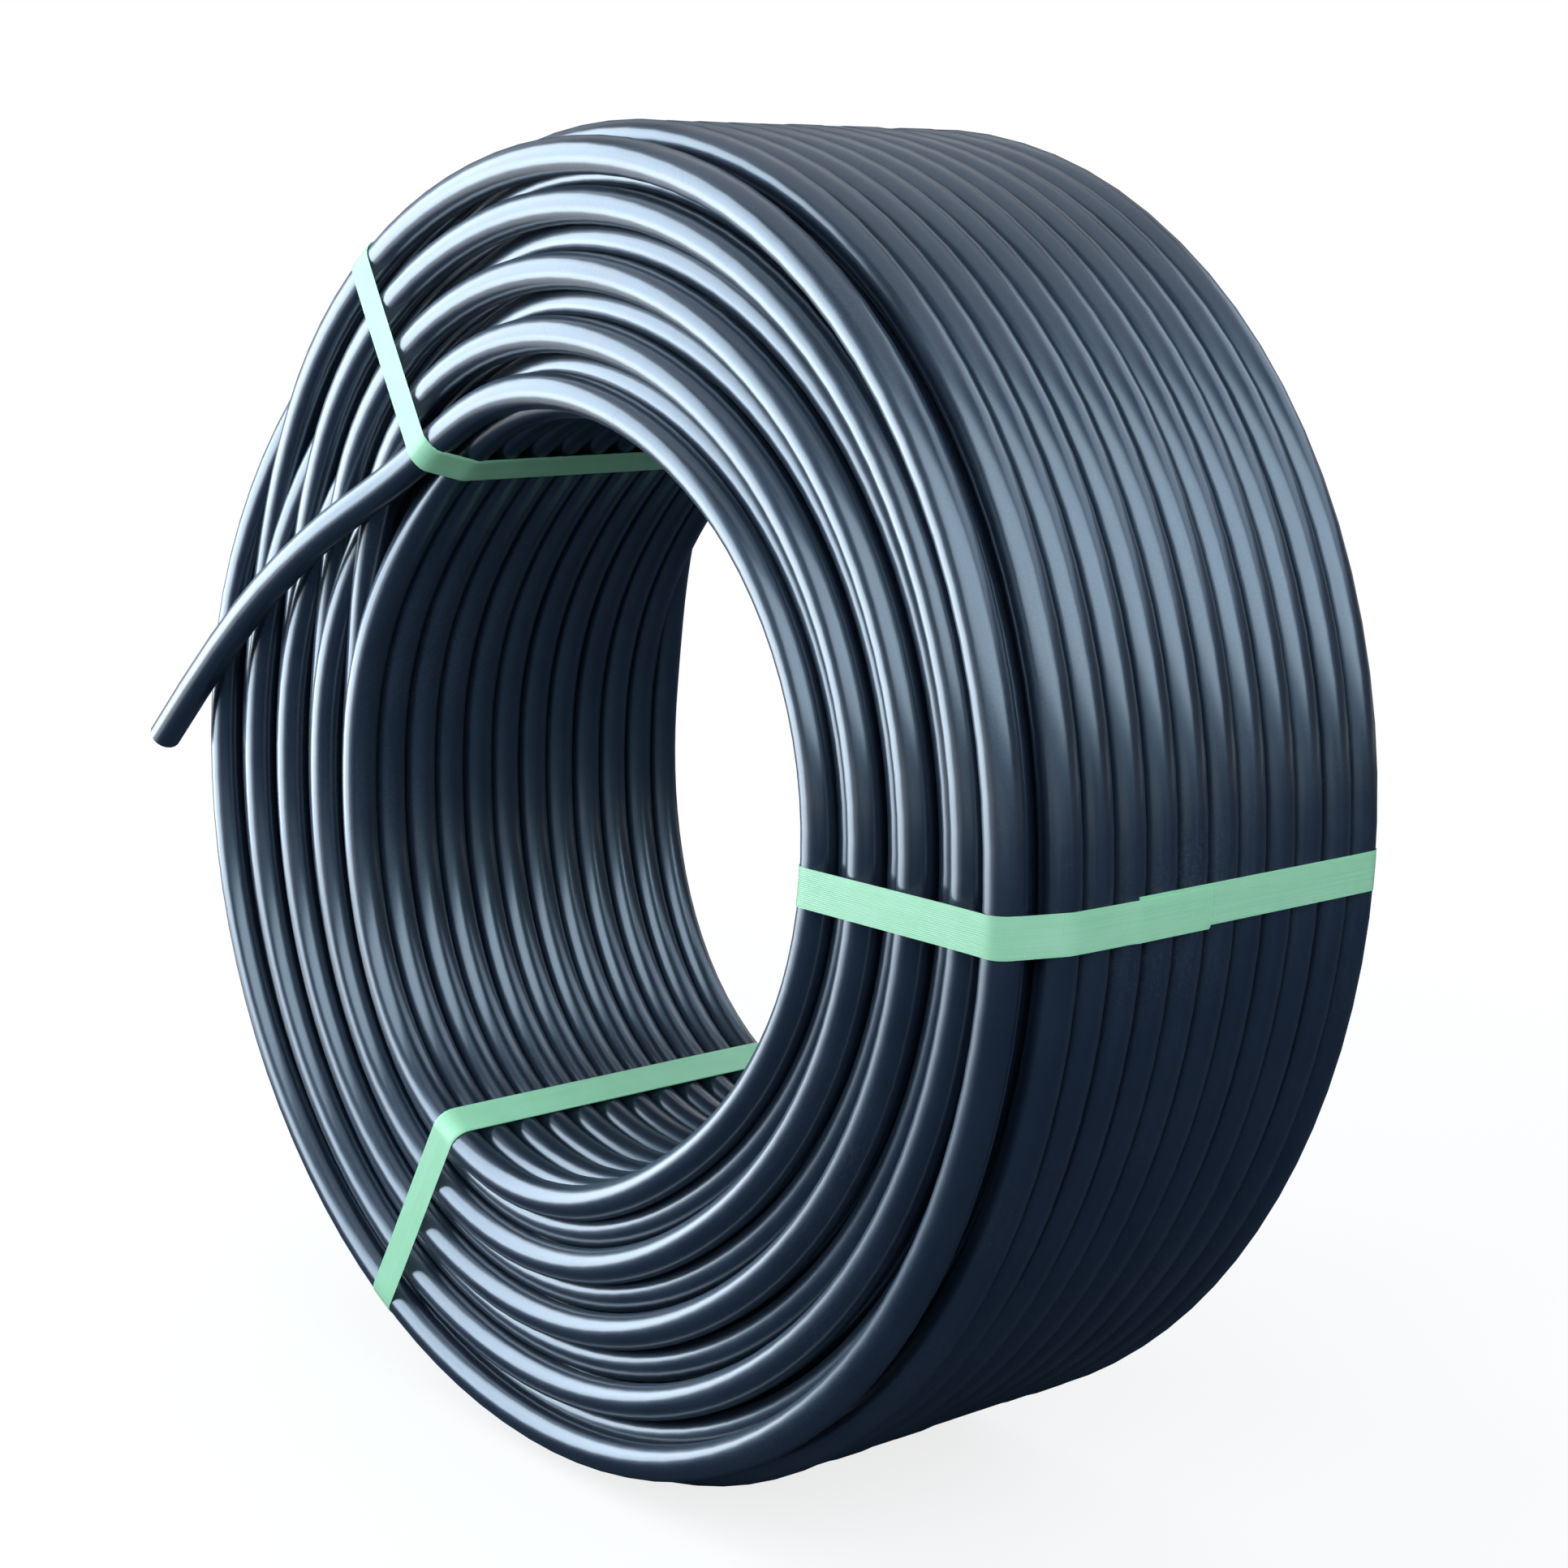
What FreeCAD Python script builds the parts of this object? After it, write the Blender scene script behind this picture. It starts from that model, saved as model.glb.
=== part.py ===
import FreeCAD, Part

import math
import os

# A coil of plain polyethylene irrigation hose, stood on edge and tied with three straps.
# Millimetres. +Z is up, the coil's axis runs along Y, and the front face looks towards -Y.
# The origin is the middle of the flat on which the coil rests.
# Angles are read from the front, from +X up towards +Z. The hose winds clockwise, inner end first.

V = FreeCAD.Vector

# Hose
hose_diameter = 16.0
hose_wall = 1.2

# Coil
coil_diameter = 600.0
turn_pitch = 16.3        # along the axis, one turn beside the next
layer_pitch = 14.1       # along the radius: each layer lies partly in the grooves of the one below
turns_across = 12
flush_layers = 5         # layers that reach the faces, with a nested layer between each two
wall_groove = 4.0        # depth of the grooves between turns on the outer and inner walls
face_groove = 6.0        # depth of the grooves over the nested layers on the two faces
rest_flat_depth = 4.5    # how far the coil settles where it stands

# Straps
strap_count = 3
first_strap_angle = 1.0
strap_width = 16.0
strap_thickness = 0.8
strap_clearance = 0.3
lap_length = 38.0        # friction weld, where one end of the strap lies on the other
lap_place = 0.30         # start of the lap, as a share of the way from the front shoulder to the rear one
lap_bevel = 0.6

# Hose ends: distances along the tangent on which the hose leaves its turn, falls from that tangent
# towards the coil's centre, and distances out from the turn along the axis
inner_end_route = (
    (0.0, 0.0, 0.0),
    (34.0, -1.6, 0.6),
    (95.0, -3.2, 16.6),
    (188.0, -0.8, 19.0),
    (281.0, 11.0, 20.2),
)
outer_end_route = (
    (0.0, 0.0, 0.0),
    (45.0, -1.0, 0.0),
    (112.0, -13.0, 0.0),
)
bore_depth = 40.0        # open bore from each cut end

# Worked out from the sizes above
hose_radius = hose_diameter / 2
bore_radius = hose_radius - hose_wall
coil_radius = coil_diameter / 2
layer_count = 2 * flush_layers - 1
outer_turn_radius = coil_radius - hose_radius
inner_turn_radius = outer_turn_radius - (layer_count - 1) * layer_pitch
eye_radius = inner_turn_radius - hose_radius
last_turn_y = (turns_across - 1) * turn_pitch / 2
face_y = last_turn_y + hose_radius
axis_height = coil_radius - rest_flat_depth
strap_gap = strap_clearance + strap_thickness


def coil_outline():
    """Half section of the coil as (radius, y) points: a crest on every turn, a groove between turns."""
    turn_ys = [i * turn_pitch - last_turn_y for i in range(turns_across)]
    flush_radii = [outer_turn_radius - 2 * i * layer_pitch for i in range(flush_layers)]
    shoulder = hose_radius * math.sqrt(0.5)

    def wall(radius, groove):
        points = [(radius + groove, turn_ys[0] + turn_pitch / 2)]
        for y in turn_ys[1:-1]:
            points.append((radius, y))
            points.append((radius + groove, y + turn_pitch / 2))
        return points

    face = [(flush_radii[0] - layer_pitch, face_y - face_groove)]
    for r in flush_radii[1:-1]:
        face.append((r, face_y))
        face.append((r - layer_pitch, face_y - face_groove))
    outer_shoulder = (outer_turn_radius + shoulder, last_turn_y + shoulder)
    inner_shoulder = (inner_turn_radius - shoulder, last_turn_y + shoulder)
    half = [outer_shoulder] + face + [inner_shoulder]
    mirrored = [(r, -y) for r, y in reversed(half)]
    return wall(coil_radius, -wall_groove) + half + wall(eye_radius, wall_groove)[::-1] + mirrored


def place_on_axis(shape, angle=0.0):
    """Turn a shape made at angle 0, about the origin, to its angle and lift it to the coil's axis."""
    shape = shape.copy()
    shape.rotate(V(0, 0, 0), V(0, 1, 0), -angle)
    shape.translate(V(0, 0, axis_height))
    return shape


def make_coil():
    """The wound coil: its outer shape revolved about the axis and settled flat where it stands."""
    points = [V(r, y, 0) for r, y in coil_outline()]
    section = Part.Face(Part.makePolygon(points + [points[0]]))
    ring = place_on_axis(section.revolve(V(0, 0, 0), V(0, 1, 0), 360))
    above_floor = Part.makeBox(
        2 * coil_diameter, 2 * coil_diameter, 2 * coil_diameter,
        V(-coil_diameter, -coil_diameter, 0),
    )
    return ring.common(above_floor).Solids[0]


def rounded_loop(offset):
    """Closed wire round the coil's section at angle 0, an offset outside its turns."""
    r_in = inner_turn_radius
    r_out = outer_turn_radius
    y_out = last_turn_y
    reach = hose_radius + offset
    diagonal = reach * math.sqrt(0.5)
    corners = (
        ((r_out, -y_out), (1, -1)),
        ((r_out, y_out), (1, 1)),
        ((r_in, y_out), (-1, 1)),
        ((r_in, -y_out), (-1, -1)),
    )
    edges = []
    previous_end = None
    first_start = None
    for number, ((r, y), (side_r, side_y)) in enumerate(corners):
        on_wall = V(r + side_r * reach, y, 0)
        on_face = V(r, y + side_y * reach, 0)
        middle = V(r + side_r * diagonal, y + side_y * diagonal, 0)
        start, end = (on_face, on_wall) if number % 2 == 0 else (on_wall, on_face)
        if previous_end is not None:
            edges.append(Part.LineSegment(previous_end, start).toShape())
        else:
            first_start = start
        edges.append(Part.Arc(start, middle, end).toShape())
        previous_end = end
    edges.append(Part.LineSegment(previous_end, first_start).toShape())
    return Part.Wire(edges)


def make_strap(angle):
    """One strap: a flat band pulled round the section, with its welded lap on the outer wall."""
    outer = Part.Face(rounded_loop(strap_gap))
    inner = Part.Face(rounded_loop(strap_clearance))
    band = outer.cut(inner).extrude(V(0, 0, strap_width))
    band_top = coil_radius + strap_gap
    lap_start = -last_turn_y + lap_place * 2 * last_turn_y
    lap_end = lap_start + lap_length
    lap_outline = [
        V(band_top, lap_start, 0),
        V(band_top + strap_thickness, lap_start + lap_bevel, 0),
        V(band_top + strap_thickness, lap_end - lap_bevel, 0),
        V(band_top, lap_end, 0),
    ]
    lap = Part.Face(Part.makePolygon(lap_outline + [lap_outline[0]])).extrude(V(0, 0, strap_width))
    strap = band.fuse(lap).removeSplitter()
    strap.translate(V(0, 0, -strap_width / 2))
    return place_on_axis(strap.Solids[0], angle)


def route_points(route, angle, turn_radius, turn_y, heading):
    """Points of a hose end that leaves its turn at an angle, heading clockwise (1) or back (-1)."""
    turn = math.radians(angle)
    radial = V(math.cos(turn), 0, math.sin(turn))
    clockwise = V(math.sin(turn), 0, -math.cos(turn))
    start = radial * turn_radius + V(0, turn_y, axis_height)
    side = -1 if turn_y < 0 else 1
    points = []
    for along, fall, proud in route:
        points.append(start + clockwise * (heading * along) - radial * fall + V(0, side * proud, 0))
    return points


def hose_path(points):
    """Straight runs joined by tangent arcs, with the radius of each arc."""
    edges = []
    radii = []
    here = points[0]
    for before, corner, after in zip(points, points[1:], points[2:]):
        back = before - corner
        ahead = after - corner
        shorter = min(back.Length, ahead.Length)
        turn = math.pi - back.getAngle(ahead)
        trim = 0.45 * shorter
        radius = trim / math.tan(turn / 2)
        back.normalize()
        ahead.normalize()
        arc_start = corner + back * trim
        arc_end = corner + ahead * trim
        inward = back + ahead
        inward.normalize()
        depth = radius / math.cos(turn / 2) - radius
        edges.append(Part.LineSegment(here, arc_start).toShape())
        edges.append(Part.Arc(arc_start, corner + inward * depth, arc_end).toShape())
        radii.append(radius)
        here = arc_end
    edges.append(Part.LineSegment(here, points[-1]).toShape())
    return Part.Wire(edges), radii


def make_hose_end(points, label):
    """A length of hose along its path, with its bore open at the cut end."""
    path, radii = hose_path(points)
    circle = Part.Wire(Part.makeCircle(hose_radius, points[0], points[1] - points[0]))
    hose = path.makePipeShell([circle], True, False)
    ratio = hose.Volume / (math.pi * hose_radius ** 2 * path.Length)
    print(label, "length", round(path.Length, 1), "arc radii", [round(radius) for radius in radii])
    print(label, "volume over section times length", round(ratio, 4))
    bore = Part.makeCylinder(bore_radius, bore_depth, points[-1], points[-2] - points[-1])
    return hose.cut(bore).Solids[0]


def build_nodes():
    strap_angles = [first_strap_angle + i * 360.0 / strap_count for i in range(strap_count)]
    inner_points = route_points(inner_end_route, strap_angles[1], inner_turn_radius, -last_turn_y, -1)
    outer_points = route_points(outer_end_route, strap_angles[2], outer_turn_radius, last_turn_y, 1)
    nodes = {
        "hose_coil": make_coil(),
        "hose_inner_end": make_hose_end(inner_points, "inner end"),
        "hose_outer_end": make_hose_end(outer_points, "outer end"),
    }
    for name, angle in zip(("strap_side", "strap_upper", "strap_lower"), strap_angles):
        nodes[name] = make_strap(angle)
    return nodes


os.makedirs("parts", exist_ok=True)
for node, shape in build_nodes().items():
    shape.exportStep("parts/" + node + ".step")
    print(node, shape.isValid(), shape.isClosed(), round(shape.Volume / 1000, 1), "cm3")
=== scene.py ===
import math

import bmesh
import bpy
import numpy as np
from mathutils import Matrix, Vector
from mathutils.geometry import convex_hull_2d


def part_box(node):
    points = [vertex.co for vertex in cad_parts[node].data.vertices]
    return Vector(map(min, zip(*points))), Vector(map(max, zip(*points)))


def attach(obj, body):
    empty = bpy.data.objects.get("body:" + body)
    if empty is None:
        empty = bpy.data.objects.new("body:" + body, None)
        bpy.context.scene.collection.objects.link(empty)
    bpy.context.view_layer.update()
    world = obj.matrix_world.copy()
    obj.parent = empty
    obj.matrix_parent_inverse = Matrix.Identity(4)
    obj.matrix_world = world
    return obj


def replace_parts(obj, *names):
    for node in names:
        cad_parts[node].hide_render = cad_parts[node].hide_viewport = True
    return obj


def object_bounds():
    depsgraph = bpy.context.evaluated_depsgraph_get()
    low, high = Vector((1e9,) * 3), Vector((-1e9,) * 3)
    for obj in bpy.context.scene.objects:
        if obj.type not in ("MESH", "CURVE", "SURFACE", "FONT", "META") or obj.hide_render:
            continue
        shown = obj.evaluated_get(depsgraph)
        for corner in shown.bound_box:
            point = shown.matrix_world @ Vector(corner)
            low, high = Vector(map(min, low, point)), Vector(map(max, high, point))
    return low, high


# A coil of black polyethylene irrigation hose that stands on edge, tied with three green straps.
# Metres, +Z up. The coil's axis runs along Y and its front face looks towards -Y.
# Angles are read from the front, in degrees, from +X up towards +Z.
# The hose winds clockwise. It starts at the free inner end and ends on the rear shoulder.

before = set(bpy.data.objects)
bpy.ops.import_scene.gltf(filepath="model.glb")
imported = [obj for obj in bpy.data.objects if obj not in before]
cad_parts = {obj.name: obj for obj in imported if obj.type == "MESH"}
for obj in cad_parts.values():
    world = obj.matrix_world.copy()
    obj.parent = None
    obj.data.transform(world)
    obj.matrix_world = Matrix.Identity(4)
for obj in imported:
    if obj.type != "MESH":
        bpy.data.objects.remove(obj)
cad_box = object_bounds()

# Hose
HOSE_RADIUS = 0.008
BORE_RADIUS = 0.0068

# Winding
COIL_RADIUS = 0.300
TURNS_ACROSS = 12
LAYERS = 9
LAYER_PITCH = 0.0141
STEP_LENGTH = 0.125       # share of a turn in which the hose steps over to its next place
FLUSH_STEP_LAG = -0.0625  # middle of that step, in turns after the whole one, in a layer flush with a face
NESTED_STEP_LAG = 0.05    # the same in a layer that lies in the grooves of the one below
FIRST_TURN_LIFT = 0.0042  # the strap pulls the start of the first turn out from the eye
FIRST_TURN_FADE = 0.42    # in turns
SHOULDER_SLIP_IN = 0.0070     # how far the last layer's first turn has slipped inwards off the shoulder
SHOULDER_SLIP_FORWARD = 0.0045  # and forwards, onto the front face
SHOULDER_SLIP_GROWS = 0.12    # turns in which it slips
SHOULDER_SLIP_LASTS = 0.62    # turns after which it climbs back
SHOULDER_SLIP_FADES = 0.25    # turns in which it does so
WANDER = 0.0006           # how far a turn strays from its place
WANDER_RATES = (2.9, 7.3, 11.9)  # how quickly the waves of that stray follow each other
WANDER_PHASE = 1.7        # keeps the waves from starting together
WANDER_SEED_OUT = 1       # tells the stray out from the axis
WANDER_SEED_ALONG = 4     # from the stray along it
POINTS_PER_TURN = 24
LENGTHS_MEET_AT = (4, 7)  # layers at whose start the second and the third length of hose begin
SPANS_PER_POINT = 4       # straight spans that the smooth line is read in, from one point to the next
SIDES = 20                # sides of the hose's mesh
BORE_RINGS = 3            # rings of the mesh that the open bore reaches past
HOSE_CREASE = 40          # degrees past which an edge of the hose is sharp

# How the coil differs from round, outside and at its eye, as shares of its radius: an oval, which way
# the oval leans in degrees, the growth upwards, at the straps, and all round
OUTSIDE_FORM = (0.038, 36, 0.003, -0.013, 0.0)
EYE_FORM = (0.049, 51, 0.037, 0.035, -0.018)
EYE_DENT = 0.034          # how far the eye is also pressed in at its right, as a share of its radius
EYE_DENT_ANGLE = 2        # where it is pressed in most
EYE_DENT_REACH = 55       # degrees to each side in which that fades

# Straps
STRAP_SIDE_ANGLE = 1.0
STRAP_UPPER_ANGLE = 121.0
STRAP_LOWER_ANGLE = 241.0
STRAP_ANGLES = {
    "strap_side": STRAP_SIDE_ANGLE,
    "strap_upper": STRAP_UPPER_ANGLE,
    "strap_lower": STRAP_LOWER_ANGLE,
}
STRAP_WIDTH = 0.016
STRAP_THICKNESS = 0.0008
STRAP_CLEARANCE = 0.0003
LAP_LENGTH = 0.038        # friction weld, where the strap's end lies on its start
LAP_PLACE = 0.30          # start of the lap, as a share of the way from the front shoulder to the rear one
LAP_RISE = 0.003          # length in which the strap's end climbs onto its start
LAP_HEIGHT = 1.05 * STRAP_THICKNESS
LAP_SKEW = 0.0012         # how far to one side the end lies
LAP_SKEW_RUN = 0.1        # length in which it drifts there
STRAP_EDGE = 0.00025      # bevel along its edges
STRAP_CREASE = 60         # degrees past which an edge is bevelled, or else sharp
WAFFLE_PITCH = 0.0016
STRAP_STEP = 0.0025       # distance between two rows of the strap's mesh
STRAP_ROWS = 8
HULL_SIDES = 48           # points round each turn that the strap may touch

# Hose ends: along the tangent on which the hose leaves its turn, falling from that tangent
# towards the coil's centre, and out from the turn along the axis
INNER_END_ROUTE = (
    (0.0, 0.0, 0.0),
    (0.034, -0.0070, 0.0045),
    (0.095, -0.0085, 0.0170),
    (0.188, -0.0060, 0.0190),
    (0.2805, 0.0110, 0.0202),
)
OUTER_END_ROUTE = (
    (0.0, 0.0, 0.0),
    (0.045, -0.001, 0.0),
    (0.112, -0.013, 0.0),
)

# Finish: colours are linear red, green, blue and alpha
HOSE_BLACKS = ((0.0035, 0.0065, 0.016, 1), (0.009, 0.014, 0.028, 1))
HOSE_DUST = (0.16, 0.18, 0.21, 1)
HOSE_SHEEN = (0.45, 0.74, 1.0, 1)
GRAZING = (0.60, 0.88)    # from facing the viewer (0) to edge on (1), where the hose's gloss fades and ends
GRAZING_MATT = 0.5        # how much rougher it is there
SCUFFS_MATT = 0.25        # how much rougher scuffs make the hose
HOSE_DUST_MATT = 0.35     # and dust
WAVE_HEIGHT = 6.0         # against the height of the fine die lines
SCUFF_DEPTH = 0.6         # the same
STRAP_GREENS = ((0.28, 0.70, 0.38, 1), (0.42, 0.82, 0.53, 1))
STRAP_LINES = (0.52, 0.88, 0.63, 1)
# painted shade: the darker green laid into the hollows of the strap's waffle
STRAP_HOLLOW_SHADE = (0.20, 0.58, 0.30, 1)
STRAP_WORN = (0.62, 0.86, 0.70, 1)
STRAP_DUST_MATT = 0.3
EMBOSS_HEIGHT = 0.5       # as a share of the bump's distance
STRAP_LINE_HEIGHT = 0.5   # the same

# Studio
FLOOR_SIZE = 8.0          # half the side of the floor
FLOOR_PALE = (0.92, 0.92, 0.92, 1)
FLOOR_BOUNCE = (0.15, 0.15, 0.15, 1)  # what the floor throws back onto the object
FLOOR_WHITE_NEAR = 0.80   # how far the floor is whitened beside the object
FLOOR_WHITE_FROM = 0.35   # distance from the object where it gets whiter
FLOOR_WHITE_TO = 1.1      # and where it is white
CARD_SIZE = 4.0           # half the side of the dark card that the hose reflects
CARD_EDGE = 0.72          # how far the card reaches from the coil on its short side
CARD_AZIMUTH = 20         # which way its long side lies, in degrees
CARD_HEIGHT = 0.0005
CARD_DARK = (0.035, 0.05, 0.075, 1)
ROOM_LIGHT = 0.25         # what the room lights the object with
DIM_STUDIO = 0.06         # what the object reflects of the room, away from its white end
BEHIND = (-0.776, 0.630, 0.0)  # towards the room's white end, behind the object
WHITE_END = (0.6, 0.95)   # cosines from that direction at which the room begins to be white, and is
SOFT_BOXES = (            # name, azimuth in degrees, distance, foot, width, height, brightness, colour
    ("key", 218, 1.35, 0.0, 1.4, 1.55, 4.9, (0.80, 0.90, 1.0)),
    ("front", 328, 2.4, 0.80, 5.8, 2.4, 3.1, (0.78, 0.90, 1.0)),
    ("rear", 62, 2.4, 1.40, 3.6, 2.2, 1.4, (0.70, 0.84, 1.0)),
)
TOP_BOX_PLACE = (-0.2, 0.0, 2.5)
TOP_BOX_SIZE = (3.0, 3.0)
TOP_BOX_BRIGHTNESS = 0.6
TOP_BOX_COLOUR = (0.84, 0.90, 1.0)

# Camera: its directions to the right and to the back, and its place from the middle of the coil
CAMERA_LENS = 67.69
CAMERA_SENSOR = 36
CAMERA_RIGHT = Vector((0.6304, 0.7763, 0))
CAMERA_BACK = Vector((0.7634, -0.6199, 0.1818))
CAMERA_PLACE = Vector((1.0375, -0.8073, 0.2510))

# Worked out from the sizes above and the frame
OUTER_TURN_RADIUS = COIL_RADIUS - HOSE_RADIUS
INNER_TURN_RADIUS = OUTER_TURN_RADIUS - (LAYERS - 1) * LAYER_PITCH
LAST_TURN_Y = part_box("hose_coil")[1].y - HOSE_RADIUS
TURN_PITCH = 2 * LAST_TURN_Y / (TURNS_ACROSS - 1)
LAST_LAYER_TURNS = TURNS_ACROSS - 1 + (360 + STRAP_UPPER_ANGLE - STRAP_LOWER_ANGLE) / 360
CONTROL_REACH = 1 / math.cos(math.pi / POINTS_PER_TURN)  # a smooth line passes inside its control points
AXIS_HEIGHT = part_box("hose_coil")[1].z - COIL_RADIUS
AXIS = Vector((0, 0, AXIS_HEIGHT))


def smooth(x):
    """0 below 0, 1 above 1, with a smooth rise between."""
    x = min(max(x, 0.0), 1.0)
    return x * x * (3 - 2 * x)


def around_axis(angle):
    """Unit vectors at an angle: straight out from the axis, and clockwise round it."""
    a = math.radians(angle)
    return Vector((math.cos(a), 0, math.sin(a))), Vector((math.sin(a), 0, -math.cos(a)))


def out_of_round(angle, share):
    """How much wider than round the coil is at an angle, from its eye (share 0) to its outside (1).

    It sags into an oval that leans to the upper right, at the straps its turns are pulled together, and at
    the right its eye is dented in."""
    high = math.sin(math.radians(angle))
    strapped = math.cos(len(STRAP_ANGLES) * math.radians(angle - STRAP_SIDE_ANGLE))
    outside, eye = (
        oval * math.cos(2 * math.radians(angle - lean)) + upwards * high + at_straps * strapped + all_round
        for oval, lean, upwards, at_straps, all_round in (OUTSIDE_FORM, EYE_FORM))
    from_dent = abs((angle - EYE_DENT_ANGLE + 180) % 360 - 180)
    eye -= EYE_DENT * smooth(1 - from_dent / EYE_DENT_REACH)
    return 1 + share * outside + (1 - share) * eye


def widening(radius, angle):
    """How much wider than round the coil is at an angle, at a distance from its axis."""
    return out_of_round(angle, (radius - INNER_TURN_RADIUS) / (OUTER_TURN_RADIUS - INNER_TURN_RADIUS))


def turns_in(layer):
    """Turns in a layer: the nested ones have one less, and the last one ends under the lower strap."""
    if layer == LAYERS - 1:
        return LAST_LAYER_TURNS
    return TURNS_ACROSS - layer % 2


def wander(distance, seed):
    """Slow stray of the hose from its place, from -1 to 1, with its distance in turns."""
    waves = [math.sin(distance * rate + seed * (i + WANDER_PHASE)) for i, rate in enumerate(WANDER_RATES)]
    return sum(waves) / len(waves)


def hose_place(layer, turns):
    """The middle of the hose after so many turns of a layer, counted from 0."""
    nested = layer % 2
    last = layer == LAYERS - 1
    count = turns_in(layer)
    lag = NESTED_STEP_LAG if nested else FLUSH_STEP_LAG
    places = sum(smooth((turns - i - lag) / STEP_LENGTH + 0.5) for i in range(1, math.ceil(count)))
    climb = 0.0 if last else smooth((turns - count) / STEP_LENGTH + 1)
    along = (places + nested / 2 + (climb if nested else -climb) / 2) * TURN_PITCH - LAST_TURN_Y
    angle = STRAP_UPPER_ANGLE - 360 * turns
    share = (layer + climb) / (LAYERS - 1)
    radius = (INNER_TURN_RADIUS + (layer + climb) * LAYER_PITCH) * out_of_round(angle, share)
    if layer == 0:
        radius += FIRST_TURN_LIFT * (1 - smooth(turns / FIRST_TURN_FADE))
    if last:
        slip = smooth(turns / SHOULDER_SLIP_GROWS)
        slip *= 1 - smooth((turns - SHOULDER_SLIP_LASTS) / SHOULDER_SLIP_FADES)
        radius -= SHOULDER_SLIP_IN * slip
        along -= SHOULDER_SLIP_FORWARD * slip
    distance = layer * TURNS_ACROSS + turns
    radius += WANDER * wander(distance, WANDER_SEED_OUT)
    along += WANDER * wander(distance, WANDER_SEED_ALONG)
    out = around_axis(angle)[0]
    below = HOSE_RADIUS - (AXIS + out * OUTER_TURN_RADIUS * out_of_round(angle, 1)).z
    return AXIS + out * radius + Vector((0, -along if nested else along, max(below, 0) * share))


def end_points(route, start, angle, heading, side):
    """Points of a hose end that leaves its turn clockwise (heading 1) or back (-1)."""
    out, clockwise = around_axis(angle)
    return [start + clockwise * heading * along - out * fall + Vector((0, side * proud, 0))
            for along, fall, proud in route]


def hose_route():
    """Control points of the whole hose from one cut end to the other, and where each layer starts."""
    wound = []
    layer_starts = []
    for layer in range(LAYERS):
        layer_starts.append(len(wound))
        for i in range(round(turns_in(layer) * POINTS_PER_TURN)):
            wound.append(hose_place(layer, i / POINTS_PER_TURN))
    wound.append(hose_place(LAYERS - 1, LAST_LAYER_TURNS))
    leaves = AXIS + around_axis(STRAP_UPPER_ANGLE)[0] * INNER_TURN_RADIUS - Vector((0, LAST_TURN_Y, 0))
    inner = end_points(INNER_END_ROUTE, leaves, STRAP_UPPER_ANGLE, -1, -1)[:0:-1]
    outer = end_points(OUTER_END_ROUTE, wound[-1], STRAP_LOWER_ANGLE, 1, 1)[1:]
    reach = Vector((CONTROL_REACH, 1, CONTROL_REACH))
    wound = [AXIS + (place - AXIS) * reach for place in wound]
    return inner + wound + outer, [start + len(inner) for start in layer_starts]


def settle(place):
    """A place of the hose's middle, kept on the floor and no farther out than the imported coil."""
    low, high = (Vector(corner) for corner in cad_box)
    return Vector((min(place.x, high.x - HOSE_RADIUS),
                   min(max(place.y, low.y + HOSE_RADIUS), high.y - HOSE_RADIUS),
                   min(max(place.z, low.z + HOSE_RADIUS), high.z - HOSE_RADIUS)))


def new_line(name, kind, places):
    """A curve with one open spline through some places, and that spline."""
    data = bpy.data.curves.new(name, "CURVE")
    data.dimensions = "3D"
    spline = data.splines.new(kind)
    spline.points.add(len(places) - 1)
    for point, place in zip(spline.points, places):
        point.co = (*place, 1)
    return data, spline


def read_as_mesh(data):
    """The mesh that a curve gives. The curve is used up."""
    line = bpy.data.objects.new(data.name, data)
    bpy.context.scene.collection.objects.link(line)
    bpy.context.view_layer.update()
    mesh = bpy.data.meshes.new_from_object(line.evaluated_get(bpy.context.evaluated_depsgraph_get()))
    bpy.data.objects.remove(line)
    bpy.data.curves.remove(data)
    return mesh


def smooth_line(points):
    """The points of a smooth line through a route, as the curve itself gives them."""
    data, spline = new_line("hose_line", "NURBS", points)
    spline.order_u = 3
    spline.use_endpoint_u = True
    data.resolution_u = SPANS_PER_POINT
    mesh = read_as_mesh(data)
    places = [settle(vertex.co) for vertex in mesh.vertices]
    bpy.data.meshes.remove(mesh)
    return places


def swept_tube(name, places):
    """The hose's tube along a line of places, as a mesh with its rings in order."""
    data = new_line(name, "POLY", places)[0]
    data.bevel_depth = HOSE_RADIUS
    data.bevel_resolution = (SIDES - 4) // 2  # a ring has four sides, and two more for each step
    tube = bpy.data.objects.new(name, read_as_mesh(data))
    bpy.context.scene.collection.objects.link(tube)
    return tube


def line_length(places):
    """How long a line of places is."""
    return sum((b - a).length for a, b in zip(places, places[1:]))


def open_bore(tube, rings):
    """Turn the wall in at the first of some rings, which is its rim, and run the bore inside them all."""
    rim = set(rings[0])
    edges = [edge for edge in tube.edges if edge.verts[0] in rim and edge.verts[1] in rim]
    share = BORE_RADIUS / HOSE_RADIUS
    previous = rings[0]
    for ring in rings:
        middle = sum((vert.co for vert in ring), Vector()) / SIDES
        grown = bmesh.ops.extrude_edge_only(tube, edges=edges)["geom"]
        edges = [part for part in grown if isinstance(part, bmesh.types.BMEdge)]
        new = [part for part in grown if isinstance(part, bmesh.types.BMVert)]
        new = [min(new, key=lambda vert: (vert.co - old.co).length) for old in previous]
        for vert, outer in zip(new, ring):
            vert.co = middle.lerp(outer.co, share)
        previous = new


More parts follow.
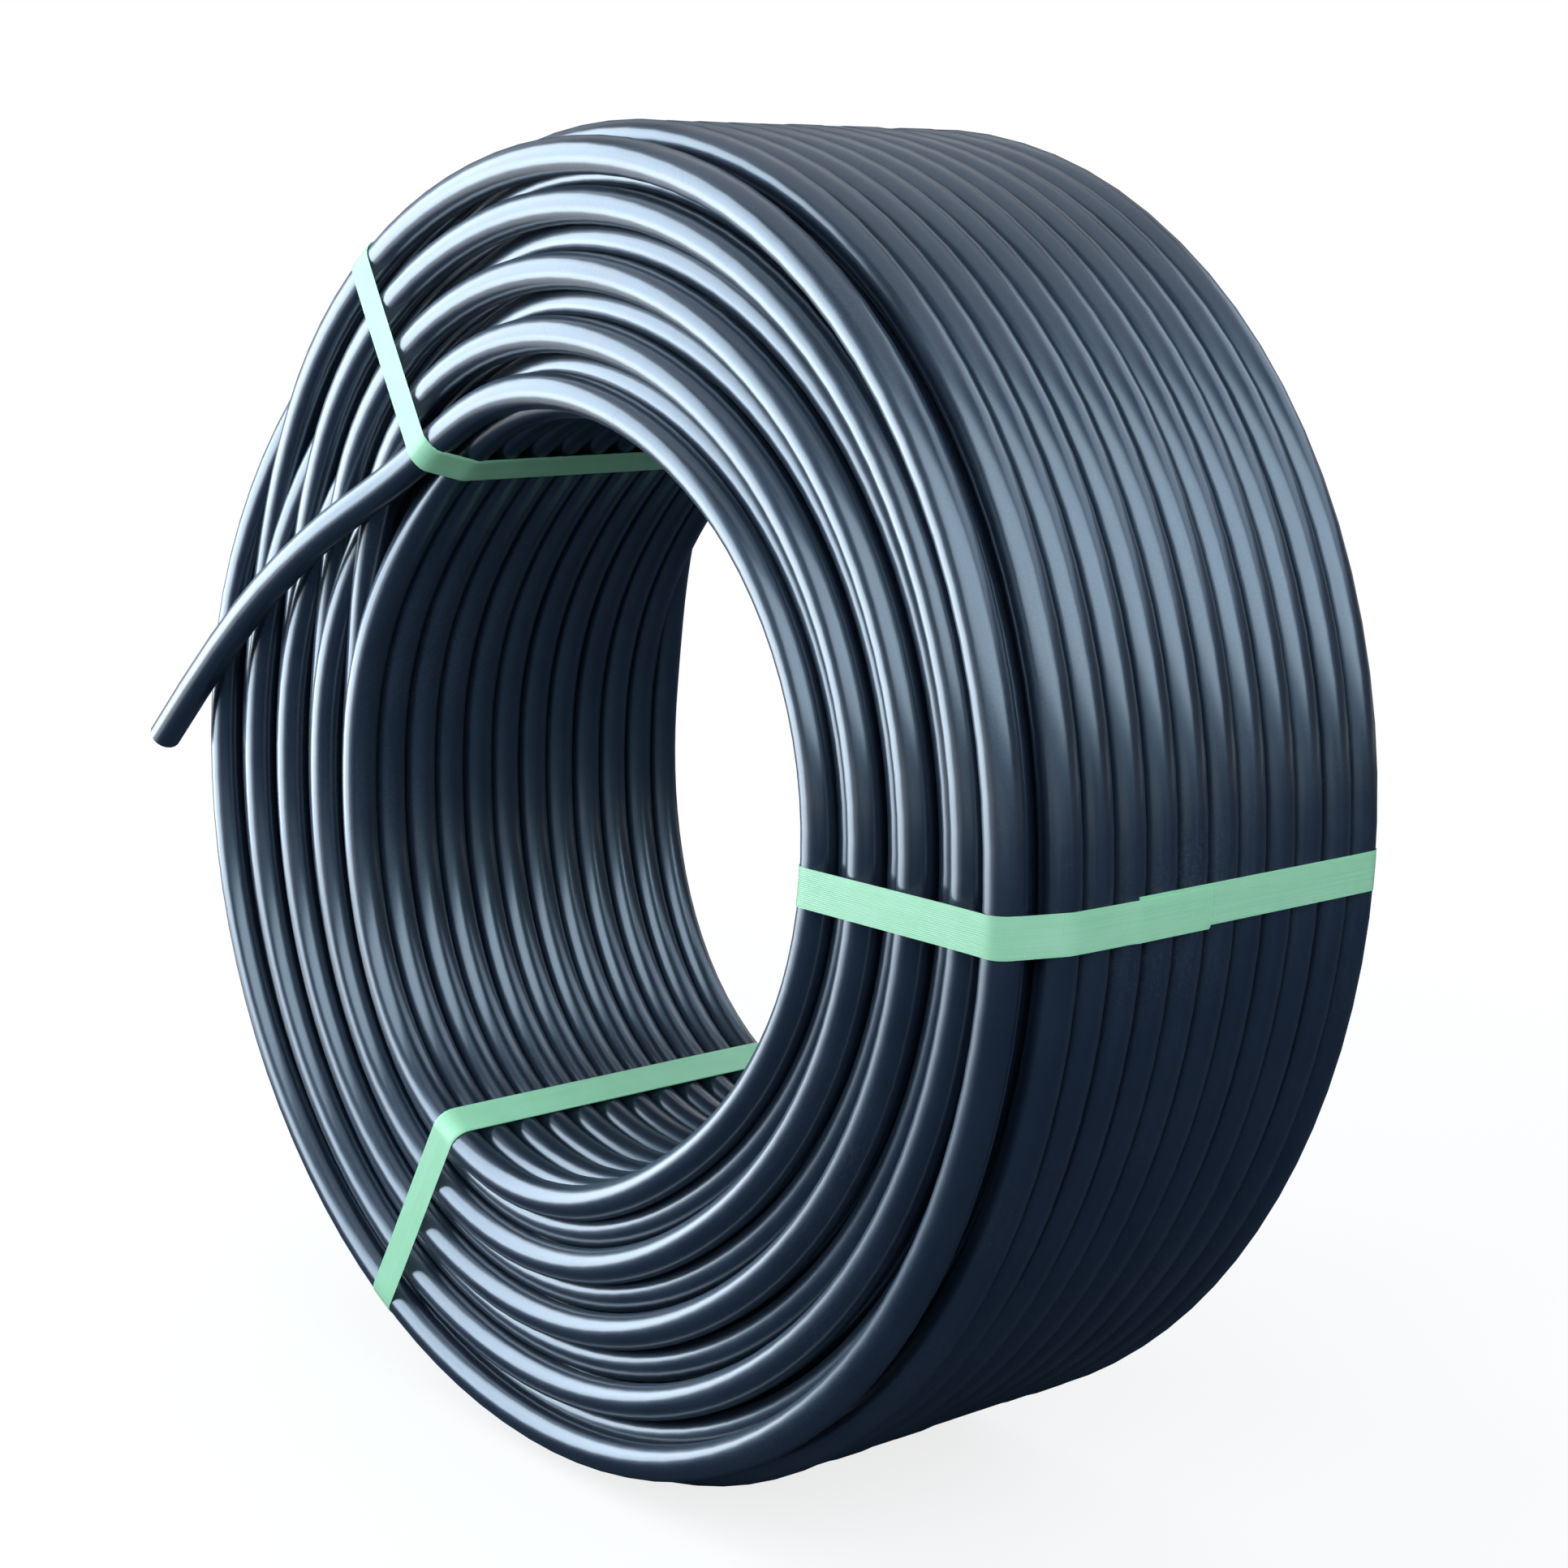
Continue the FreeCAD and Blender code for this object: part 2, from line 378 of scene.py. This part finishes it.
def finish_hose(tube, bored_start, bored_end):
    """Open the bore at a cut end of a tube, and close its other ends flat."""
    mesh = bmesh.new()
    mesh.from_mesh(tube.data)
    mesh.verts.ensure_lookup_table()
    rings = [mesh.verts[i:i + SIDES] for i in range(0, len(mesh.verts), SIDES)]
    if bored_start:
        open_bore(mesh, rings[:BORE_RINGS])
    if bored_end:
        open_bore(mesh, rings[:-BORE_RINGS - 1:-1])
    bmesh.ops.holes_fill(mesh, edges=[edge for edge in mesh.edges if edge.is_boundary], sides=SIDES)
    bmesh.ops.recalc_face_normals(mesh, faces=mesh.faces)
    for face in mesh.faces:
        face.smooth = True
    mesh.to_mesh(tube.data)
    mesh.free()
    tube.data.set_sharp_from_angle(angle=math.radians(HOSE_CREASE))


def make_hose(material):
    """The hose in three lengths that meet end to end. Returns its whole line."""
    route, layer_starts = hose_route()
    places = smooth_line(route)
    spans = (len(places) - 1) / (len(route) - 1)
    cuts = [0] + [round(layer_starts[layer] * spans) for layer in LENGTHS_MEET_AT] + [len(places) - 1]
    for name, first, last, nodes, end in (
        ("hose_inner_length", cuts[0], cuts[1], ("hose_inner_end", "hose_coil"), "object"),
        ("hose_middle_length", cuts[1], cuts[2], (), "object"),
        ("hose_outer_length", cuts[2], cuts[3], ("hose_outer_end",), "bare"),
    ):
        stretch = places[first:last + 1]
        tube = swept_tube(name, stretch)
        mark_hose(tube, line_length(places[:first + 1]), stretch)
        finish_hose(tube, first == 0, end == "bare")
        tube.data.materials.clear()
        tube.data.materials.append(material)
        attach(tube, "root")
        if nodes:
            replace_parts(tube, *nodes)
    return places


def mark_hose(tube, start, places):
    """Mark each point of the mesh with its place round the hose (x, y) and along it (z), in metres."""
    marks = tube.data.attributes.new("hose_place", "FLOAT_VECTOR", "POINT")
    along = start
    values = []
    for i, place in enumerate(places):
        if i:
            along += (place - places[i - 1]).length
        for side in range(SIDES):
            a = 2 * math.pi * side / SIDES
            values += (HOSE_RADIUS * math.cos(a), HOSE_RADIUS * math.sin(a), along)
    marks.data.foreach_set("vector", values)


def crossings(line, angle):
    """Where the hose's line crosses the plane at an angle, as points (out from the axis, along it)."""
    out, clockwise = around_axis(angle)
    places = np.array(line) - np.array(AXIS)
    ahead = places @ np.array(clockwise)
    across = np.flatnonzero((ahead[:-1] < 0) != (ahead[1:] < 0))
    share = (ahead[across] / (ahead[across] - ahead[across + 1]))[:, None]
    found = places[across] * (1 - share) + places[across + 1] * share
    return [Vector((point @ np.array(out), point[1])) for point in found if point @ np.array(out) > 0]


def strap_line(line, angle):
    """The closed line of a strap's underside round the bundle, as points (out from the axis, along it)."""
    reach = HOSE_RADIUS + STRAP_CLEARANCE
    half_width = math.degrees(STRAP_WIDTH / 2 / INNER_TURN_RADIUS)
    touched = []
    for place_angle in (angle - half_width, angle, angle + half_width):
        for middle in crossings(line, place_angle):
            middle.x *= widening(middle.x, angle) / widening(middle.x, place_angle)
            for i in range(HULL_SIDES):
                a = 2 * math.pi * i / HULL_SIDES
                touched.append(middle + Vector((math.cos(a), math.sin(a))) * reach)
    return [touched[i] for i in convex_hull_2d(touched)]


def start_at_lap(loop):
    """The same closed line, running from front to rear on the outer wall, from the start of the lap."""
    highest = max(loop, key=lambda point: point.x)
    after = loop[(loop.index(highest) + 1) % len(loop)]
    if after.y < highest.y:
        loop = loop[::-1]
    front = min(point.y for point in loop)
    start = front + LAP_PLACE * -2 * front
    middle = (max(point.x for point in loop) + min(point.x for point in loop)) / 2
    for i, here in enumerate(loop):
        after = loop[(i + 1) % len(loop)]
        if here.x > middle and here.y <= start < after.y:
            first = here.lerp(after, (start - here.y) / (after.y - here.y))
            return [first] + loop[i + 1:] + loop[:i + 1] + [first]


def make_strap(name, line, angle, material):
    """One strap: a flat band pulled round the bundle, its end lying on its start where it is welded."""
    loop = start_at_lap(strap_line(line, angle))
    marks = [0.0]
    for a, b in zip(loop, loop[1:]):
        marks.append(marks[-1] + (b - a).length)
    girth = marks[-1]
    length = girth + LAP_LENGTH

    def place_at(distance):
        """Where the strap's underside is at a distance along it."""
        distance %= girth
        return Vector([float(np.interp(distance, marks, [point[k] for point in loop])) for k in (0, 1)])

    mesh = bmesh.new()
    uv = mesh.loops.layers.uv.new("strap")
    steps = round(length / STRAP_STEP)
    bmesh.ops.create_grid(mesh, x_segments=steps, y_segments=STRAP_ROWS, size=1, calc_uvs=True)
    for vert in mesh.verts:
        distance = (vert.co.x + 1) / 2 * length
        across = vert.co.y * STRAP_WIDTH / 2
        heading = (place_at(distance + STRAP_STEP) - place_at(distance - STRAP_STEP)).normalized()
        risen = smooth((distance - girth + LAP_RISE) / LAP_RISE)
        here = place_at(distance) + Vector((heading.y, -heading.x)) * LAP_HEIGHT * risen
        across += LAP_SKEW * smooth((distance - girth + LAP_SKEW_RUN) / LAP_SKEW_RUN)
        place_angle = angle - math.degrees(across / here.x)
        radius = here.x * widening(here.x, place_angle) / widening(here.x, angle)
        vert.co = AXIS + around_axis(place_angle)[0] * radius + Vector((0, here.y, 0))
    for face in mesh.faces:
        for corner in face.loops:
            corner[uv].uv = (corner[uv].uv.x * length, corner[uv].uv.y * STRAP_WIDTH)
    bmesh.ops.solidify(mesh, geom=mesh.faces, thickness=-STRAP_THICKNESS)
    bmesh.ops.recalc_face_normals(mesh, faces=mesh.faces)
    crease = math.radians(STRAP_CREASE)
    edges = [edge for edge in mesh.edges if edge.calc_face_angle(0) > crease]
    bmesh.ops.bevel(mesh, geom=edges, offset=STRAP_EDGE, segments=2, affect="EDGES", profile=0.5,
                    material=-1)
    data = bpy.data.meshes.new(name)
    for face in mesh.faces:
        face.smooth = True
    mesh.to_mesh(data)
    mesh.free()
    data.set_sharp_from_angle(angle=crease)
    data.materials.append(material)
    strap = bpy.data.objects.new(name, data)
    bpy.context.scene.collection.objects.link(strap)
    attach(strap, "root")
    return strap


def add_node(tree, kind, inputs=(), **settings):
    """A node with its settings, and its inputs linked or set, by name or number."""
    node = tree.nodes.new(kind)
    for name, value in settings.items():
        setattr(node, name, value)
    for name, source in dict(inputs).items():
        if isinstance(source, bpy.types.NodeSocket):
            tree.links.new(source, node.inputs[name])
        else:
            node.inputs[name].default_value = source
    return node


def mix_colour(tree, factor, first, second):
    """A colour between two others."""
    inputs = {0: factor, 6: first, 7: second}  # a Mix node's factor and two colours
    return add_node(tree, "ShaderNodeMix", inputs, data_type="RGBA").outputs[2]


def calculate(tree, operation, *values):
    """The result of a Math node."""
    return add_node(tree, "ShaderNodeMath", enumerate(values), operation=operation).outputs[0]


def remap(tree, value, low, high, new_low=0.0, new_high=1.0):
    """A value carried from one range to another, and held inside it."""
    return add_node(tree, "ShaderNodeMapRange", {"Value": value, "From Min": low, "From Max": high,
                                                 "To Min": new_low, "To Max": new_high}).outputs[0]


def noise(tree, place, scale, detail=3.0, roughness=0.6):
    """Soft random patches, from 0 to 1."""
    return add_node(tree, "ShaderNodeTexNoise", {"Vector": place, "Scale": scale, "Detail": detail,
                                                 "Roughness": roughness}).outputs["Fac"]


def new_group(name, inputs, outputs):
    """An empty node group with named inputs and outputs, and its input and output nodes."""
    group = bpy.data.node_groups.new(name, "ShaderNodeTree")
    for side, sockets in (("INPUT", inputs), ("OUTPUT", outputs)):
        for socket, kind in sockets.items():
            group.interface.new_socket(socket, in_out=side, socket_type="NodeSocket" + kind)
    return group, group.nodes.new("NodeGroupInput").outputs, group.nodes.new("NodeGroupOutput").inputs


def make_drawn_lines():
    """Fine lines that a die or roller leaves along a length, and slow waves in its gloss."""
    group, given, result = new_group(
        "drawn_lines",
        {"Place": "Vector", "Line Scale": "Float", "Wave Scale": "Float"},
        {"Lines": "Float", "Waves": "Float"})
    drawn = add_node(group, "ShaderNodeVectorMath", {0: given["Place"], 1: (1.0, 1.0, 0.01)},
                     operation="MULTIPLY").outputs[0]
    group.links.new(noise(group, drawn, given["Line Scale"]), result["Lines"])
    waves = noise(group, given["Place"], given["Wave Scale"], detail=2.0, roughness=0.5)
    group.links.new(waves, result["Waves"])
    return group


def make_handling_wear():
    """Dust that settles in specks and the fine scuffs of handling, each a mask from 0 to 1."""
    group, given, result = new_group(
        "handling_wear",
        {"Place": "Vector", "Dust": "Float", "Scuffs": "Float"},
        {"Dust": "Float", "Scuffs": "Float"})
    place = given["Place"]
    clouds = remap(group, noise(group, place, scale=9.0, detail=4.0, roughness=0.65), low=0.42, high=0.75)
    specks = remap(group, noise(group, place, scale=900.0, detail=2.0, roughness=0.7), low=0.45, high=0.7)
    dust = calculate(group, "MULTIPLY", calculate(group, "MULTIPLY", clouds, specks), given["Dust"])
    scratch = add_node(group, "ShaderNodeTexVoronoi", {"Vector": place, "Scale": 60.0},
                       feature="DISTANCE_TO_EDGE").outputs["Distance"]
    thin = remap(group, scratch, low=0.0, high=0.025, new_low=1.0, new_high=0.0)
    some = remap(group, noise(group, place, scale=31.0), low=0.56, high=0.66)
    scuffs = calculate(group, "MULTIPLY", calculate(group, "MULTIPLY", thin, some), given["Scuffs"])
    group.links.new(dust, result["Dust"])
    group.links.new(scuffs, result["Scuffs"])
    return group


def place_group(tree, group, inputs):
    """A node group in a material, with its values. Its inputs are there only once it has its group."""
    return add_node(tree, "ShaderNodeGroup", inputs, node_tree=group).outputs


def new_material(name):
    """A material, its node tree and its shader."""
    material = bpy.data.materials.new(name)
    material.use_nodes = True
    return material, material.node_tree, material.node_tree.nodes["Principled BSDF"]


def make_polyethylene(drawn_lines, handling_wear):
    """Glossy black polyethylene with a blue cast, die lines along the hose and a little dust.

    Seen edge on it is duller, so that its outline doesn't mirror the lamps."""
    material, tree, shader = new_material("black_polyethylene")
    hose = add_node(tree, "ShaderNodeAttribute", attribute_name="hose_place").outputs["Vector"]
    place = add_node(tree, "ShaderNodeTexCoord").outputs["Object"]
    drawn = place_group(tree, drawn_lines, {"Place": hose, "Line Scale": 620.0, "Wave Scale": 24.0})
    wear = place_group(tree, handling_wear, {"Place": place, "Dust": 0.15, "Scuffs": 0.5})
    black = mix_colour(tree, drawn["Waves"], *HOSE_BLACKS)
    dusty = mix_colour(tree, wear["Dust"], black, HOSE_DUST)
    tree.links.new(dusty, shader.inputs["Base Color"])
    gloss = remap(tree, drawn["Lines"], low=0.3, high=0.7, new_low=0.30, new_high=0.40)
    slow = remap(tree, drawn["Waves"], low=0.3, high=0.7, new_low=-0.02, new_high=0.05)
    gloss = calculate(tree, "ADD", gloss, slow)
    gloss = calculate(tree, "MULTIPLY_ADD", wear["Scuffs"], SCUFFS_MATT, gloss)
    gloss = calculate(tree, "MULTIPLY_ADD", wear["Dust"], HOSE_DUST_MATT, gloss)
    facing = add_node(tree, "ShaderNodeLayerWeight", {"Blend": 0.5}).outputs["Facing"]
    grazing = remap(tree, facing, *GRAZING)
    tree.links.new(calculate(tree, "SUBTRACT", 1.0, grazing), shader.inputs["Coat Weight"])
    gloss = calculate(tree, "MULTIPLY_ADD", grazing, GRAZING_MATT, gloss)
    tree.links.new(gloss, shader.inputs["Roughness"])
    height = calculate(tree, "MULTIPLY_ADD", drawn["Waves"], WAVE_HEIGHT, drawn["Lines"])
    height = calculate(tree, "MULTIPLY_ADD", wear["Scuffs"], -SCUFF_DEPTH, height)
    bump = add_node(tree, "ShaderNodeBump", {"Height": height, "Strength": 0.25, "Distance": 0.00004})
    tree.links.new(bump.outputs[0], shader.inputs["Normal"])
    shader.inputs["IOR"].default_value = 1.51
    shader.inputs["Specular IOR Level"].default_value = 1.0
    shader.inputs["Specular Tint"].default_value = HOSE_SHEEN
    shader.inputs["Coat IOR"].default_value = 1.7
    shader.inputs["Coat Roughness"].default_value = 0.22
    return material


def make_strapping(drawn_lines, handling_wear):
    """Green polyester strapping: translucent, drawn along its length and embossed with a fine waffle, with
    painted shade darkening the waffle's hollows.
    """
    material, tree, shader = new_material("green_strapping")
    flat = add_node(tree, "ShaderNodeUVMap", uv_map="strap").outputs[0]
    place = add_node(tree, "ShaderNodeTexCoord").outputs["Object"]
    axes = add_node(tree, "ShaderNodeSeparateXYZ", {0: flat}).outputs
    stood = add_node(tree, "ShaderNodeCombineXYZ", {0: axes[1], 2: axes[0]}).outputs[0]
    drawn = place_group(tree, drawn_lines, {"Place": stood, "Line Scale": 900.0, "Wave Scale": 60.0})
    wear = place_group(tree, handling_wear, {"Place": place, "Dust": 0.4, "Scuffs": 0.12})
    waffle = []
    for sign in (1.0, -1.0):
        ribs = calculate(tree, "MULTIPLY_ADD", axes[1], sign, axes[0])
        waffle.append(calculate(tree, "SINE", calculate(tree, "MULTIPLY", ribs, 2 * math.pi / WAFFLE_PITCH)))
    emboss = calculate(tree, "MULTIPLY", waffle[0], waffle[1])
    green = mix_colour(tree, drawn["Waves"], *STRAP_GREENS)
    lines = remap(tree, drawn["Lines"], low=0.35, high=0.65, new_high=0.35)
    lined = mix_colour(tree, lines, green, STRAP_LINES)
    # Painted shade: the waffle's hollows are darkened towards a deeper green, as shade would fall in them
    hollow_shade = remap(tree, emboss, low=-1.0, high=1.0, new_low=0.30, new_high=0.0)
    shaded_green = mix_colour(tree, hollow_shade, lined, STRAP_HOLLOW_SHADE)
    worn = mix_colour(tree, wear["Scuffs"], shaded_green, STRAP_WORN)
    tree.links.new(worn, shader.inputs["Base Color"])
    gloss = remap(tree, drawn["Lines"], low=0.3, high=0.7, new_low=0.28, new_high=0.42)
    gloss = calculate(tree, "MULTIPLY_ADD", wear["Dust"], STRAP_DUST_MATT, gloss)
    tree.links.new(gloss, shader.inputs["Roughness"])
    drawn_height = calculate(tree, "MULTIPLY", drawn["Lines"], STRAP_LINE_HEIGHT)
    height = calculate(tree, "MULTIPLY_ADD", emboss, EMBOSS_HEIGHT, drawn_height)
    bump = add_node(tree, "ShaderNodeBump", {"Height": height, "Strength": 0.5, "Distance": 0.00012})
    tree.links.new(bump.outputs[0], shader.inputs["Normal"])
    shader.inputs["IOR"].default_value = 1.57
    shader.inputs["Subsurface Weight"].default_value = 0.15
    shader.inputs["Subsurface Radius"].default_value = (0.4, 1.0, 0.5)
    shader.inputs["Subsurface Scale"].default_value = 0.002
    return material


def seen_directly(tree):
    """1 for what the camera sees straight, and 1 for what it sees at all, reflections and glass included."""
    path = add_node(tree, "ShaderNodeLightPath").outputs
    seen = calculate(tree, "MAXIMUM", path["Is Camera Ray"], path["Is Glossy Ray"])
    return path["Is Camera Ray"], calculate(tree, "MAXIMUM", seen, path["Is Transmission Ray"])


def lay_sheet(name, size, place):
    """A square sheet of the studio, flat, with its half side and middle."""
    sheet = bmesh.new()
    bmesh.ops.create_grid(sheet, x_segments=1, y_segments=1, size=size)
    bmesh.ops.translate(sheet, verts=sheet.verts, vec=place)
    mesh = bpy.data.meshes.new(name)
    sheet.to_mesh(mesh)
    sheet.free()
    laid = bpy.data.objects.new(name, mesh)
    bpy.context.scene.collection.objects.link(laid)
    return laid


def make_floor():
    """A pale floor that keeps the light and shade on it near the object, and is white farther off."""
    floor = lay_sheet("floor", FLOOR_SIZE, (0, 0, 0))
    material, tree, shader = new_material("pale_floor")
    diffuse = add_node(tree, "ShaderNodeLightPath").outputs["Is Diffuse Ray"]
    pale = mix_colour(tree, diffuse, FLOOR_PALE, FLOOR_BOUNCE)
    tree.links.new(pale, shader.inputs["Base Color"])
    shader.inputs["Roughness"].default_value = 0.9
    shader.inputs["Specular IOR Level"].default_value = 0.0
    white = add_node(tree, "ShaderNodeEmission", {"Color": (1, 1, 1, 1), "Strength": 1.0})
    place = add_node(tree, "ShaderNodeTexCoord").outputs["Object"]
    distance = add_node(tree, "ShaderNodeVectorMath", {0: place}, operation="LENGTH").outputs["Value"]
    whitening = remap(tree, distance, FLOOR_WHITE_FROM, FLOOR_WHITE_TO, FLOOR_WHITE_NEAR, 1.0)
    whitening = calculate(tree, "MULTIPLY", seen_directly(tree)[1], whitening)
    mixed = add_node(tree, "ShaderNodeMixShader", {0: whitening, 1: shader.outputs[0], 2: white.outputs[0]})
    tree.links.new(mixed.outputs[0], tree.nodes["Material Output"].inputs["Surface"])
    floor.data.materials.append(material)


def make_dark_card():
    """A dark card on the floor that only reflections see, so that the hose's underside stays black."""
    card = lay_sheet("dark_card", CARD_SIZE, (CARD_SIZE - CARD_EDGE, 0, CARD_HEIGHT))
    card.data.transform(Matrix.Rotation(math.radians(CARD_AZIMUTH), 4, "Z"))
    material, tree, shader = new_material("dark_card")
    shader.inputs["Base Color"].default_value = CARD_DARK
    shader.inputs["Specular IOR Level"].default_value = 0.0
    card.data.materials.append(material)
    card.visible_camera = False
    card.visible_diffuse = False
    card.visible_transmission = False
    card.visible_shadow = False


def make_world():
    """A studio that is white behind the object and dim elsewhere, and lights it evenly."""
    world = bpy.data.worlds.new("studio")
    bpy.context.scene.world = world
    world.use_nodes = True
    tree = world.node_tree
    direction = add_node(tree, "ShaderNodeTexCoord").outputs["Generated"]
    behind = add_node(tree, "ShaderNodeVectorMath", {0: direction, 1: BEHIND}, operation="DOT_PRODUCT")
    reflected = remap(tree, behind.outputs["Value"], *WHITE_END, DIM_STUDIO, 1.0)
    camera, seen = seen_directly(tree)
    shown = calculate(tree, "MAXIMUM", camera, reflected)
    strength = add_node(tree, "ShaderNodeMix", {0: seen, 2: ROOM_LIGHT, 3: shown}).outputs[0]
    tree.links.new(strength, tree.nodes["Background"].inputs["Strength"])
    tree.nodes["Background"].inputs["Color"].default_value = (1, 1, 1, 1)


def soft_box(name, place, target, size, radiance, colour):
    """A soft box of a given brightness, which the camera doesn't see."""
    data = bpy.data.lights.new(name, "AREA")
    data.shape = "RECTANGLE"
    data.size, data.size_y = size
    data.energy = radiance * math.pi * size[0] * size[1]
    data.color = colour
    light = bpy.data.objects.new(name, data)
    light.location = place
    light.rotation_euler = (Vector(target) - Vector(place)).to_track_quat("-Z", "Y").to_euler()
    light.visible_camera = False
    bpy.context.scene.collection.objects.link(light)


def make_studio():
    """A floor, a dark card on it, the room, and soft boxes that stand round the object and hang over it."""
    make_floor()
    make_dark_card()
    make_world()
    for name, azimuth, distance, foot, width, height, radiance, colour in SOFT_BOXES:
        place = around_axis(0)[0] * distance
        place.rotate(Matrix.Rotation(math.radians(azimuth), 3, "Z"))
        place.z = foot + height / 2
        soft_box(name, place, (0, 0, place.z), (width, height), radiance, colour)
    soft_box("top", TOP_BOX_PLACE, AXIS, TOP_BOX_SIZE, TOP_BOX_BRIGHTNESS, TOP_BOX_COLOUR)


def make_camera():
    """The camera, level from side to side and looking a little down on the coil's face and outer wall."""
    data = bpy.data.cameras.new("camera")
    data.lens = CAMERA_LENS
    data.sensor_width = CAMERA_SENSOR
    camera = bpy.data.objects.new("camera", data)
    right = CAMERA_RIGHT.normalized()
    back = CAMERA_BACK.normalized()
    turn = Matrix((right, back.cross(right), back)).transposed().to_4x4()
    camera.matrix_world = Matrix.Translation(AXIS + CAMERA_PLACE) @ turn
    bpy.context.scene.collection.objects.link(camera)
    bpy.context.scene.camera = camera


drawn_lines = make_drawn_lines()
handling_wear = make_handling_wear()
hose_line = make_hose(make_polyethylene(drawn_lines, handling_wear))
strapping = make_strapping(drawn_lines, handling_wear)
for node, angle in STRAP_ANGLES.items():
    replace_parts(make_strap(node.replace("strap", "band"), hose_line, angle, strapping), node)

make_studio()
make_camera()
bpy.context.scene.view_settings.view_transform = "Standard"
